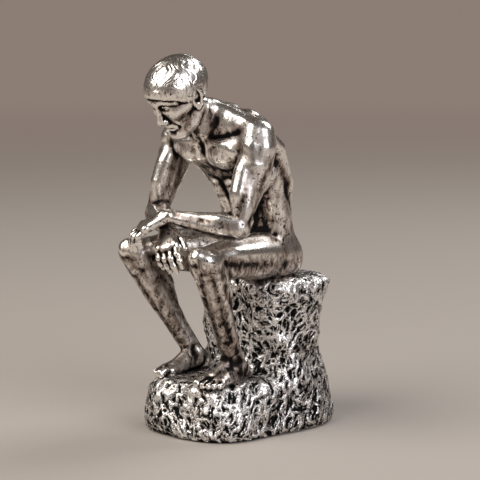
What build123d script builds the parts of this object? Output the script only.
"""Cast-resin statuette: a seated figure in thought on a hollow rock, in separate pinned castings.

Millimetres. +Z is up, the figure faces -Y and its left side is +X.
The origin is the middle of the underside, on the surface that the statuette stands on.
"""

import os
from math import cos, pi, radians, sin, sqrt

from build123d import *

# Rock, underside and fixings
BASE_WIDTH = 114
BASE_DEPTH = 144
SEAT_HEIGHT = 120
SEAT_WIDTH = 104
SEAT_DEPTH = 72
SEAT_SINK = 4
ROCK_LUMP = 4.2
LUMP_FADE = 12
ROCK_SQUARENESS = 3.2
ROCK_WALL = 8
SEAT_FROM_BACK = 3
SEAT_ROOF = 16
FELT_THICKNESS = 1.5
FELT_INSET = 3
PLATE_THICKNESS = 3
PLATE_LIP = 3
BALLAST_HEIGHT = 30
BALLAST_GAP = 3
FIT_CLEARANCE = 0.1
SCREW_RADIUS = 2.5
SCREW_BITE = 16
SCREW_HEAD_RADIUS = 4.5
SCREW_HEAD_HEIGHT = 3
WASHER_RADIUS = 8
WASHER_THICKNESS = 1.5
BODY_PIN_RADIUS = 2
BODY_PIN_LENGTH = 22
SMALL_PIN_RADIUS = 1.25
SMALL_PIN_LENGTH = 13
SHOULDER_PIN_INSET = 5
HIP_PIN_ALONG_THIGH = 21

# Figure, joint to joint
HIP_SPAN = 40
HIP_BACK = 27
HIP_ABOVE_SEAT = 18
THIGH_LENGTH = 94
SHANK_LENGTH = 97
KNEE_RADIUS = 13.5
STANCE = 50
ANKLE_HEIGHT = 14
FOOT_LENGTH = 57
FOOT_SINK = 1
ANKLE_ALONG_FOOT = 0.27
FOOT_SQUARENESS = 2.4
TOE_ROOT = 0.74
LUMBAR_LENGTH = 34
RIB_LENGTH = 40
CHEST_LENGTH = 39
NAPE_LENGTH = 20
ARMPIT = 0.3
UPPER_CHEST = 0.6
NECK_LENGTH = 37
NECK_SEAM = 7
NECK_HALF_WIDTH = 13.6
NECK_FRONT = 13
NECK_BACK = 14
SHOULDER_SPAN = 92
SHOULDER_RISE = 2
SHOULDER_RADIUS = 15
ELBOW_ALONG_THIGH = 68
ELBOW_ABOVE_THIGH = {"left": 26.3, "right": 29.2}
ELBOW_OUTWARD = {"left": 15, "right": 7}
ELBOW_RADIUS = 10.5
FOREARM_LENGTH = 57
PALM_LENGTH = 21
FINGER_LENGTH = 21
FINGER_RADIUS = 2.3
FINGER_PITCH = 4.8
THUMB_LENGTH = 20
WRIST_RADIUS = 6.2
HEAD_HEIGHT = 58

# Pose, in degrees
THIGH_SPREAD = {"left": 7, "right": 22}
THIGH_RISE = {"left": 4, "right": 1.5}
LEFT_SHANK_LEAN = 25
FOOT_TURN = 8
LUMBAR_LEAN = 0
RIB_LEAN = 24
CHEST_LEAN = 42
NAPE_LEAN = 52
NECK_LEAN = 58
HEAD_BOW = 30
HEAD_TURN = 8
FOREARM_YAW = {"left": 52, "right": 55}
FOREARM_RISE = {"left": 8.4, "right": -3}

# Lumps of the rock: (how many there are round it, millimetres of height that turn them by a radian)
ROCK_WAVES = ((3, 23), (5, -15), (7, 13))
# Rock, from the bottom up: (share of the height, share of the width, share of the depth)
MOUND_ROWS = [
    (0.00, 0.97, 0.98),
    (0.12, 1.00, 1.00),
    (0.50, 0.93, 0.97),
    (1.00, 0.79, 0.92),
]
COLUMN_ROWS = [
    (0.00, 1.02, 0.98),
    (0.20, 0.95, 0.94),
    (0.46, 0.87, 0.88),
    (0.70, 0.92, 0.93),
    (0.90, 0.98, 0.99),
    (1.00, 1.00, 1.00),
]

# Torso, from the seat up to the nape: (lean, half width, front, back, squareness, front groove, back groove)
TORSO_ROWS = [
    (0, 34.5, 21, 20, 2.5, 0, 4),
    (-2, 38, 22, 25, 2.4, 0, 4),
    (2, 35, 22.5, 22.5, 2.2, 1, 2),
    (10, 34, 25, 21, 2.1, 4, 2.5),
    (32, 38, 28, 23.5, 2.3, 2, 2),
    (39, 39, 25.5, 24.5, 2.6, 0.5, 2),
    (46, 43.5, 29, 23.5, 2.8, 3, 2),
    (49, 46, 27.5, 22.5, 2.5, 5, 1.5),
    (52, 44, 21.5, 20, 2.2, 4, 0),
    (56, 26, 14.5, 17, 2.0, 0, 0.5),
]
# Outlines along each limb: (share of the bone, shift to the front, half width, front, back)
THIGH_ROWS = [
    (0.00, 0, 17.5, 18, 19),
    (0.30, 1, 20.5, 20, 20),
    (0.62, 1, 18, 18, 17),
    (0.90, 0, 14.5, 14.5, 14),
    (1.02, 0, 12.5, 12.5, 12.5),
]
SHANK_ROWS = [
    (-0.02, 0, 12.5, 12.5, 12.5),
    (0.12, 0, 12.8, 12.5, 13.5),
    (0.30, -1, 13.2, 11.5, 16),
    (0.55, -1, 10.8, 10, 12.5),
    (0.80, 0, 7.6, 8, 8.5),
    (1.00, 0, 7.4, 8, 8.6),
]
UPPER_ARM_ROWS = [
    (-0.08, 0, 12, 12, 12),
    (0.14, 0, 15.5, 16, 16),
    (0.36, 0.5, 13.5, 15.5, 15),
    (0.62, 0.5, 11.5, 14.5, 13.5),
    (0.86, 0, 10.2, 11, 11.5),
    (1.00, 0, 9.5, 10, 10.5),
]
FOREARM_ROWS = [
    (-0.05, 0, 9.5, 9.5, 9.5),
    (0.22, 0, 12, 11.5, 11.5),
    (0.55, 0, 10.2, 9.2, 9.2),
    (0.85, 0, 7.9, 6.4, 6.4),
    (1.00, 0, 7.7, 5.8, 5.8),
]
PALM_ROWS = [
    (0.00, 0, 7.6, 5.6, 5.6),
    (0.45, 0, 9.8, 5.4, 5.8),
    (0.90, 0, 10.2, 4.6, 4.8),
    (1.10, 0, 9.2, 3.4, 3.6),
]
# Foot, from the heel forwards: (share of the foot, half width, height)
FOOT_ROWS = [
    (0.02, 5, 10),
    (0.13, 8.2, 18),
    (0.28, 8.7, 23),
    (0.46, 9.3, 19),
    (0.66, 10.9, 13),
    (0.82, 11.4, 9),
]
# Toes, from the big one outwards: (share of the foot at the tip, outward from its middle line, radius)
TOES = [
    (1.00, -8.0, 3.2),
    (0.99, -2.6, 2.5),
    (0.96, 1.9, 2.3),
    (0.92, 5.9, 2.2),
    (0.86, 9.4, 2.1),
]
TOE_FAN = 0.8
TOE_ARCH = 1.3
TOE_ROUNDING = 0.85
# Skull, from the chin up: (share of the head's height, shift forwards, half width, front, back)
SKULL_ROWS = [
    (-0.46, 9.1, 8, 9.1, 8),
    (-0.38, 8, 12, 12, 11.4),
    (-0.26, 5.1, 15.4, 15.4, 16),
    (-0.11, 2.3, 17.8, 18.8, 20.5),
    (0.04, 0, 18.8, 20.7, 22.8),
    (0.18, 0, 19.4, 22.2, 24.5),
    (0.33, -0.6, 17.7, 19.2, 22.2),
    (0.44, -1.1, 12, 12.8, 14.8),
    (0.49, -1.7, 4.6, 4.6, 5.7),
]
HAIR_ROWS = [
    (-0.24, -13.7, 13.7, 3.4, 8),
    (-0.08, -9.1, 19.7, 8, 15),
    (0.08, -4.6, 21.2, 13.7, 20.5),
    (0.23, 0, 21.5, 23.5, 26.4),
    (0.35, -0.6, 19.4, 21.2, 23.9),
    (0.47, -1.1, 13.1, 14.1, 16),
    (0.52, -1.7, 4.6, 4.6, 5.7),
]
NOSE_ROWS = [
    (0.12, 18.2, 2.1, 3, 3.4),
    (0.00, 18.2, 2.7, 5.5, 3.4),
    (-0.11, 18.2, 4.3, 8.4, 3.4),
    (-0.16, 18.2, 3.6, 5.7, 3.4),
]
NECK_ROWS = [
    (0.45, 0, 13.2, 12.8, 13.8),
    (0.95, 0, 13, 12.8, 14),
]
# Eyes and ears: out from the middle line, share of the head's height and shift forwards
EYE_PLACE = (7.3, 0.045, 17.6)
EYE_RADIUS = 3.9
SOCKET_RADIUS = 5.5
SOCKET_FORWARD = 6.4
EAR_PLACE = (17, -0.02, -1.7)
EAR_WIDTH = 5
EAR_HEIGHT = 8
EAR_STANDS_OUT = 3.9
MOUTH_WIDTH = 13.6
MOUTH_GAP = 0.9
MOUTH_DEPTH = 3.4
MOUTH_PLACE = (-0.285, 19.4)

# Hands: aims of the palm, of each finger bone in turn and of the thumb, and the way the back faces
PALM_AIM = {"right": Vector(0.55, -0.55, -0.63), "left": Vector(-0.62, -0.62, -0.48)}
HAND_BACK = {"right": Vector(0.1, -0.7, 0.7), "left": Vector(-0.2, -0.45, 0.87)}
FINGER_CURL = (12, 34, 26)
FINGER_BONES = (0.45, 0.3, 0.25)
FINGER_SHARES = (0.92, 1.0, 0.95, 0.78)
THUMB_ROOT = 0.25
THUMB_TURNS = (42, 14)
THUMB_BONES = (0.6, 0.4)
THUMB_RADIUS = 2.7

# Points on each outline that a loft runs through
OUTLINE_POINTS = 12
TORSO_POINTS = 16
ROCK_POINTS = 28
HOLLOW_POINTS = 16
ROCK_STEP = 17

SIDES = {"left": 1, "right": -1}
STANDING = (Align.CENTER, Align.CENTER, Align.MIN)
HANGING = (Align.CENTER, Align.CENTER, Align.MAX)
UP = Vector(0, 0, 1)
SIDEWAYS = Vector(1, 0, 0)


def leaning(lean):
    """Upward direction that leans forward by so many degrees."""
    return Vector(0, -sin(radians(lean)), cos(radians(lean)))


def forward(yaw, rise):
    """Forward direction turned towards +X by yaw and raised by rise, in degrees."""
    reach = cos(radians(rise))
    return Vector(reach * sin(radians(yaw)), -reach * cos(radians(yaw)), sin(radians(rise)))


def station(point, along, sideways):
    """Plane across a limb: its normal runs along the limb and its x axis points sideways."""
    along = along.normalized()
    return Plane(origin=point, x_dir=sideways - along * sideways.dot(along), z_dir=along)


def signed_power(value, power):
    """Power of a number's size that keeps its sign."""
    return abs(value) ** power * (1 if value > 0 else -1)


def closed_curve(plane, points):
    """Face inside a smooth closed curve through the points."""
    with BuildSketch(plane) as section:
        with BuildLine():
            Spline(*points, periodic=True)
        make_face()
    return section.sketch


def outline(plane, half_width, front, back, squareness=2.0, *grooves, count=OUTLINE_POINTS):
    """Closed oval, as deep as front on the plane's +y side and as back on the other, less their grooves."""
    front_groove, back_groove = grooves or (0, 0)
    points = []
    for step in range(count):
        turn = 2 * pi * step / count
        x = half_width * signed_power(cos(turn), 2 / squareness)
        y = (front if step < count / 2 else back) * signed_power(sin(turn), 2 / squareness)
        if step * 4 == count:
            y -= front_groove
        if step * 4 == count * 3:
            y += back_groove
        points.append((x, y))
    return closed_curve(plane, points)


def along_bone(start, end, sideways, rows):
    """Outlines along a bone, one for each of its rows."""
    bone = end - start
    sections = []
    for share, shift, half_width, front, back in rows:
        plane = station(start + bone * share, bone, sideways)
        plane.origin = plane.origin + plane.y_dir * shift
        sections.append(outline(plane, half_width, front, back))
    return sections


def pin(middle, along, radius, length):
    """Round dowel of that length about its middle."""
    with BuildPart(Plane(origin=middle, z_dir=along)) as dowel:
        Cylinder(radius, length)
    return dowel.part


def pin_hole(middle, along, radius, length):
    """Hole that the dowel of those sizes fits."""
    return pin(middle, along, radius + FIT_CLEARANCE, length + 2 * FIT_CLEARANCE)


# Skeleton
hip_height = SEAT_HEIGHT + HIP_ABOVE_SEAT
pelvis = Vector(0, HIP_BACK, hip_height)
waist = pelvis + leaning(LUMBAR_LEAN) * LUMBAR_LENGTH
ribs = waist + leaning(RIB_LEAN) * RIB_LENGTH
chest = ribs + leaning(CHEST_LEAN) * CHEST_LENGTH
nape = chest + leaning(NAPE_LEAN) * NAPE_LENGTH
neck_seam = nape + leaning(NECK_LEAN) * NECK_SEAM
head_centre = nape + leaning(NECK_LEAN) * NECK_LENGTH
shoulder_line = chest + leaning(CHEST_LEAN) * SHOULDER_RISE

hip, knee, ankle, sole, shoulder, elbow, wrist = ({} for _ in range(7))
thigh_aim, toe_aim, forearm_aim = ({} for _ in range(3))
for name, side in SIDES.items():
    thigh_aim[name] = forward(side * THIGH_SPREAD[name], THIGH_RISE[name])
    forearm_aim[name] = forward(-side * FOREARM_YAW[name], FOREARM_RISE[name])
    toe_aim[name] = forward(side * FOOT_TURN, 0)
    hip[name] = pelvis + SIDEWAYS * (side * HIP_SPAN / 2)
    knee[name] = hip[name] + thigh_aim[name] * THIGH_LENGTH
    shoulder[name] = shoulder_line + SIDEWAYS * (side * SHOULDER_SPAN / 2)
    over_thigh = hip[name] + thigh_aim[name] * ELBOW_ALONG_THIGH + UP * ELBOW_ABOVE_THIGH[name]
    elbow[name] = over_thigh + SIDEWAYS * (side * ELBOW_OUTWARD[name])
    wrist[name] = elbow[name] + forearm_aim[name] * FOREARM_LENGTH

# Both feet stand on one ledge: the left shin's lean sets its height and the right shin follows
ankle_level = knee["left"].Z - SHANK_LENGTH * cos(radians(LEFT_SHANK_LEAN))
for name in SIDES:
    across = SIDES[name] * STANCE / 2 - knee[name].X
    drop = knee[name].Z - ankle_level
    back = sqrt(SHANK_LENGTH**2 - across**2 - drop**2)
    ankle[name] = knee[name] + Vector(across, back, -drop)
    sole[name] = ankle[name] - UP * ANKLE_HEIGHT
sole_level = ankle_level - ANKLE_HEIGHT
ledge_level = sole_level + FOOT_SINK

# Dowels that join the castings, across each seam
body_pin = (BODY_PIN_RADIUS, BODY_PIN_LENGTH)
small_pin = (SMALL_PIN_RADIUS, SMALL_PIN_LENGTH)
neck_dowel = (neck_seam, leaning(NECK_LEAN), *body_pin)
shoulder_dowel, hip_dowel, wrist_dowel, foot_dowel = ({} for _ in range(4))
for name, side in SIDES.items():
    inset = SIDEWAYS * (side * SHOULDER_PIN_INSET)
    shoulder_dowel[name] = (shoulder[name] - inset, SIDEWAYS, *body_pin)
    hip_dowel[name] = (hip[name] + thigh_aim[name] * HIP_PIN_ALONG_THIGH, thigh_aim[name], *body_pin)
    wrist_dowel[name] = (wrist[name], forearm_aim[name], *small_pin)
    foot_dowel[name] = (sole[name], UP, *small_pin)

# Screw that draws the torso down on the seat
roof = SEAT_HEIGHT - SEAT_ROOF
screw_tip = SEAT_HEIGHT - SEAT_SINK + SCREW_BITE
screw_shank = (Vector(0, HIP_BACK, (roof + screw_tip) / 2), UP, SCREW_RADIUS, screw_tip - roof)

head_up = leaning(HEAD_BOW).rotate(Axis.Z, -HEAD_TURN)
head_side = SIDEWAYS.rotate(Axis.Z, -HEAD_TURN)
head_front = head_side.cross(head_up)


def on_head(out, share, ahead):
    """Point out to the figure's left, up by a share of the head's height and ahead of its middle."""
    return head_centre + head_side * out + head_up * (HEAD_HEIGHT * share) + head_front * ahead


# Torso
with BuildPart() as torso:
    buttocks = pelvis - UP * (HIP_ABOVE_SEAT + SEAT_SINK)
    armpits, upper_chest = (chest + (nape - chest) * share for share in (ARMPIT, UPPER_CHEST))
    levels = [buttocks, pelvis, (pelvis + waist) / 2, waist, ribs, (ribs + chest) / 2, chest]
    levels += [armpits, upper_chest, nape]
    sections = []
    for point, (lean, *sizes) in zip(levels, TORSO_ROWS):
        plane = station(point, leaning(lean), -SIDEWAYS)
        sections.append(outline(plane, *sizes, count=TORSO_POINTS))
    seam = station(neck_seam, leaning(NECK_LEAN), -SIDEWAYS)
    sections.append(outline(seam, NECK_HALF_WIDTH, NECK_FRONT, NECK_BACK, count=TORSO_POINTS))
    loft(sections=sections)


def toe(root, tip, radius):
    """Round toe from its root to its tip, rounded over at the tip."""
    with BuildPart(Plane(origin=root, z_dir=tip - root)) as bones:
        Cylinder(radius, (tip - root).length, align=STANDING)
        end = bones.faces().filter_by(GeomType.PLANE).sort_by_distance(tip)[0]
        fillet(end.edges(), radius * TOE_ROUNDING)
    return bones.part


# Legs, notched round the torso that they join
legs = {}
for name, side in SIDES.items():
    heel = sole[name] - toe_aim[name] * (FOOT_LENGTH * ANKLE_ALONG_FOOT)
    outward = toe_aim[name].cross(UP) * -side
    with BuildPart() as leg:
        loft(sections=along_bone(hip[name], knee[name], SIDEWAYS, THIGH_ROWS))
        loft(sections=along_bone(knee[name], ankle[name], SIDEWAYS, SHANK_ROWS))
        with Locations(knee[name]):
            Sphere(KNEE_RADIUS)
        sections = []
        for share, half_width, height in FOOT_ROWS:
            middle = heel + toe_aim[name] * (FOOT_LENGTH * share) + UP * (height / 2)
            plane = station(middle, toe_aim[name], SIDEWAYS)
            sections.append(outline(plane, half_width, height / 2, height / 2, FOOT_SQUARENESS))
        loft(sections=sections)
        for share, across, radius in TOES:
            tip = heel + toe_aim[name] * (FOOT_LENGTH * share) + outward * across + UP * radius
            root = heel + toe_aim[name] * (FOOT_LENGTH * TOE_ROOT) + outward * (across * TOE_FAN)
            root += UP * (radius * TOE_ARCH)
            add(toe(root, tip, radius))
        holes = [pin_hole(*hip_dowel[name]), pin_hole(*foot_dowel[name])]
        add([torso.part, *holes], mode=Mode.SUBTRACT)
    legs[name] = leg

# Arms, notched where they meet the torso, with the forearms lying on the thighs
arms = {}
for name, side in SIDES.items():
    with BuildPart() as arm:
        loft(sections=along_bone(shoulder[name], elbow[name], SIDEWAYS, UPPER_ARM_ROWS))
        loft(sections=along_bone(elbow[name], wrist[name], SIDEWAYS, FOREARM_ROWS))
        with Locations(shoulder[name]):
            Sphere(SHOULDER_RADIUS)
        with Locations(elbow[name]):
            Sphere(ELBOW_RADIUS)
        holes = [pin_hole(*shoulder_dowel[name]), pin_hole(*wrist_dowel[name])]
        add([torso.part, *holes], mode=Mode.SUBTRACT)
    arms[name] = arm


def digit(root, aims, lengths, radius):
    """Finger or thumb from its root, one straight bone for each aim, with soft bends and a round tip."""
    points = [root]
    for aim, length in zip(aims, lengths):
        points.append(points[-1] + aim * length)
    with BuildPart() as bones:
        with BuildLine():
            spine = FilletPolyline(*points, radius=radius)
        with BuildSketch(Plane(origin=spine @ 0, z_dir=spine % 0)):
            Circle(radius)
        sweep(path=spine)
        with Locations(points[-1]):
            Sphere(radius)
    return bones.part


# Hands, cut square to the forearms: the right one hangs from its wrist and the left one lies over it
hands = {}
for name, side in {"right": -1, "left": 1}.items():
    palm_aim = PALM_AIM[name].normalized()
    across = palm_aim.cross(HAND_BACK[name]).normalized()
    knuckle = Axis((0, 0, 0), across)
    little = across * -side
    palm_end = wrist[name] + palm_aim * PALM_LENGTH
    with BuildPart() as hand:
        loft(sections=along_bone(wrist[name], palm_end, across, PALM_ROWS))
        with Locations(wrist[name]):
            Sphere(WRIST_RADIUS)
        turns = [-sum(FINGER_CURL[: bone + 1]) for bone in range(len(FINGER_CURL))]
        aims = [palm_aim.rotate(knuckle, turn) for turn in turns]
        for place, share in enumerate(FINGER_SHARES):
            from_middle = place - (len(FINGER_SHARES) - 1) / 2
            root = palm_end - palm_aim * FINGER_RADIUS + little * (from_middle * FINGER_PITCH)
            add(digit(root, aims, [FINGER_LENGTH * share * bone for bone in FINGER_BONES], FINGER_RADIUS))
        root = wrist[name] + palm_aim * (PALM_LENGTH * THUMB_ROOT) - little * THUMB_RADIUS
        lean = Axis((0, 0, 0), HAND_BACK[name])
        aims = [palm_aim.rotate(lean, -side * turn) for turn in THUMB_TURNS]
        add(digit(root, aims, [THUMB_LENGTH * bone for bone in THUMB_BONES], THUMB_RADIUS))
        split(bisect_by=Plane(origin=wrist[name], z_dir=forearm_aim[name]), keep=Keep.TOP)
        add(pin_hole(*wrist_dowel[name]), mode=Mode.SUBTRACT)
    hands[name] = hand

# Head: a skull with its face, a cap of short hair and the neck down to the seam
with BuildPart() as head:
    crown = head_centre + head_up * HEAD_HEIGHT
    loft(sections=along_bone(head_centre, crown, -head_side, SKULL_ROWS))
    loft(sections=along_bone(head_centre, crown, -head_side, NOSE_ROWS))
    for side in SIDES.values():
        out, share, ahead = EYE_PLACE
        with Locations(on_head(side * out, share, ahead + SOCKET_FORWARD)):
            Sphere(SOCKET_RADIUS, mode=Mode.SUBTRACT)
        with Locations(on_head(side * out, share, ahead)):
            Sphere(EYE_RADIUS)
        out, share, ahead = EAR_PLACE
        ear_root = on_head(side * out, share, ahead)
        with BuildSketch(Plane(origin=ear_root, x_dir=head_up, z_dir=head_side * side)):
            Ellipse(EAR_HEIGHT, EAR_WIDTH)
        extrude(amount=EAR_STANDS_OUT)
    with Locations(Plane(origin=on_head(0, *MOUTH_PLACE), x_dir=head_side, z_dir=head_up)):
        Box(MOUTH_WIDTH, MOUTH_DEPTH, MOUTH_GAP, mode=Mode.SUBTRACT)
    loft(sections=along_bone(head_centre, crown, -head_side, HAIR_ROWS))
    throat = along_bone(neck_seam, head_centre, -SIDEWAYS, NECK_ROWS)
    loft(sections=[outline(seam, NECK_HALF_WIDTH, NECK_FRONT, NECK_BACK), *throat])
    add(pin_hole(*neck_dowel), mode=Mode.SUBTRACT)


def rock_outline(height, middle, half_width, half_depth, lump=0, inset=0):
    """Rounded rectangle at that height, with lumps that turn with the height, or drawn in by inset."""
    count = ROCK_POINTS if lump else HOLLOW_POINTS
    points = []
    for step in range(count):
        turn = 2 * pi * step / count
        wide = abs(cos(turn) / half_width) ** ROCK_SQUARENESS
        deep = abs(sin(turn) / half_depth) ** ROCK_SQUARENESS
        wave = sum(sin(waves * turn + height / twist) for waves, twist in ROCK_WAVES) / len(ROCK_WAVES)
        reach = (wide + deep) ** (-1 / ROCK_SQUARENESS) + lump * wave - inset
        points.append((reach * cos(turn), middle + reach * sin(turn)))
    return closed_curve(Plane.XY.offset(height), points)


def between(rows, share):
    """Shares of the width and depth at a share of the height, straight between two rows."""
    for low, high in zip(rows, rows[1:]):
        if share <= high[0]:
            part = (share - low[0]) / (high[0] - low[0])
            return [start + (end - start) * part for start, end in zip(low[1:], high[1:])]


def lumpy(rows, top, middle, width, depth):
    """Outlines of the rock's outside up to its top, about a step apart, with lumps that fade at the foot."""
    rise = top - FELT_THICKNESS
    steps = round(rise / ROCK_STEP)
    sections = []
    for step in range(steps + 1):
        wide, deep = between(rows, step / steps)
        lump = ROCK_LUMP * min(1, rise * step / steps / LUMP_FADE)
        height = FELT_THICKNESS + rise * step / steps
        sections.append(rock_outline(height, middle, width / 2 * wide, depth / 2 * deep, lump))
    return sections


def drawn_in(rows, top, middle, width, depth, inset):
    """Outlines of the rock's hollow up to its top, one for each row, drawn in by inset."""
    sections = []
    for share, wide, deep in rows:
        height = FELT_THICKNESS + (top - FELT_THICKNESS) * share
        sections.append(rock_outline(height, middle, width / 2 * wide, depth / 2 * deep, inset=inset))
    return sections


def rock_foot(inset):
    """Outline of the rock's underside, drawn in by inset."""
    return drawn_in(MOUND_ROWS[:1], ledge_level, *mound, inset)


# Rock: a mound under the feet and a seat behind it, hollow from below with a rebate for the plate
seat_middle = (BASE_DEPTH - SEAT_DEPTH) / 2 - SEAT_FROM_BACK
mound_top = ledge_level - ROCK_WALL
mound = (0, BASE_WIDTH, BASE_DEPTH)
column = (seat_middle, SEAT_WIDTH, SEAT_DEPTH)
with BuildPart() as rock_base:
    loft(sections=lumpy(MOUND_ROWS, ledge_level, *mound))
    loft(sections=lumpy(COLUMN_ROWS, SEAT_HEIGHT, *column))
    for rows, top, block in ((MOUND_ROWS, mound_top, mound), (COLUMN_ROWS, roof, column)):
        loft(sections=drawn_in(rows, top, *block, ROCK_WALL), mode=Mode.SUBTRACT)
    add(rock_foot(PLATE_LIP - FIT_CLEARANCE))
    extrude(amount=PLATE_THICKNESS, mode=Mode.SUBTRACT)
    holes = [pin_hole(*dowel) for dowel in (screw_shank, *foot_dowel.values())]
    add([torso.part, legs["left"].part, legs["right"].part, *holes], mode=Mode.SUBTRACT)

# Underside: a plate let into the rock, a felt pad under both and ballast cast on the plate
with BuildPart() as bottom_plate:
    add(rock_foot(PLATE_LIP))
    extrude(amount=PLATE_THICKNESS)

with BuildPart() as felt_pad:
    add(rock_foot(FELT_INSET))
    extrude(amount=-FELT_THICKNESS)

with BuildPart() as ballast:
    plate_top = FELT_THICKNESS + PLATE_THICKNESS
    narrowest = min(COLUMN_ROWS, key=lambda row: row[1])
    half_width, half_depth = (SEAT_WIDTH / 2 * narrowest[1], SEAT_DEPTH / 2 * narrowest[2])
    add(rock_outline(plate_top, seat_middle, half_width, half_depth, inset=ROCK_WALL + BALLAST_GAP))
    extrude(amount=BALLAST_HEIGHT)

# Screw and washer that draw the torso down on the seat
with BuildPart() as seat_washer:
    with Locations((0, HIP_BACK, roof)):
        Cylinder(WASHER_RADIUS, WASHER_THICKNESS, align=HANGING)
        Cylinder(SCREW_RADIUS + FIT_CLEARANCE, WASHER_THICKNESS, align=HANGING, mode=Mode.SUBTRACT)

with BuildPart() as seat_screw:
    head_top = roof - WASHER_THICKNESS
    with Locations((0, HIP_BACK, head_top)):
        Cylinder(SCREW_HEAD_RADIUS, SCREW_HEAD_HEIGHT, align=HANGING)
        Cylinder(SCREW_RADIUS, screw_tip - head_top, align=STANDING)
    fillet(seat_screw.faces().sort_by(Axis.Z)[0].edges(), SCREW_HEAD_HEIGHT / 3)

with BuildPart() as neck_pin:
    add(pin(*neck_dowel))

pin_sets = {}
for label, dowels in {
    "shoulder_pins": shoulder_dowel,
    "hip_pins": hip_dowel,
    "wrist_pins": wrist_dowel,
    "foot_pins": foot_dowel,
}.items():
    with BuildPart() as pin_set:
        for dowel in dowels.values():
            add(pin(*dowel))
    pin_sets[label] = pin_set

# Holes for the dowels and the screw
with torso:
    seams = (neck_dowel, screw_shank, *shoulder_dowel.values(), *hip_dowel.values())
    add([pin_hole(*dowel) for dowel in seams], mode=Mode.SUBTRACT)

pieces = {"rock_base": rock_base, "torso": torso, "head": head}
for name in SIDES:
    pieces[f"{name}_leg"] = legs[name]
    pieces[f"{name}_arm"] = arms[name]
    pieces[f"{name}_hand"] = hands[name]
pieces |= {"bottom_plate": bottom_plate, "felt_pad": felt_pad, "ballast": ballast}
pieces |= {"seat_washer": seat_washer, "seat_screw": seat_screw, "neck_pin": neck_pin, **pin_sets}
os.makedirs("parts", exist_ok=True)
for label, piece in pieces.items():
    piece.part.label = label
    export_step(piece.part, f"parts/{label}.step")
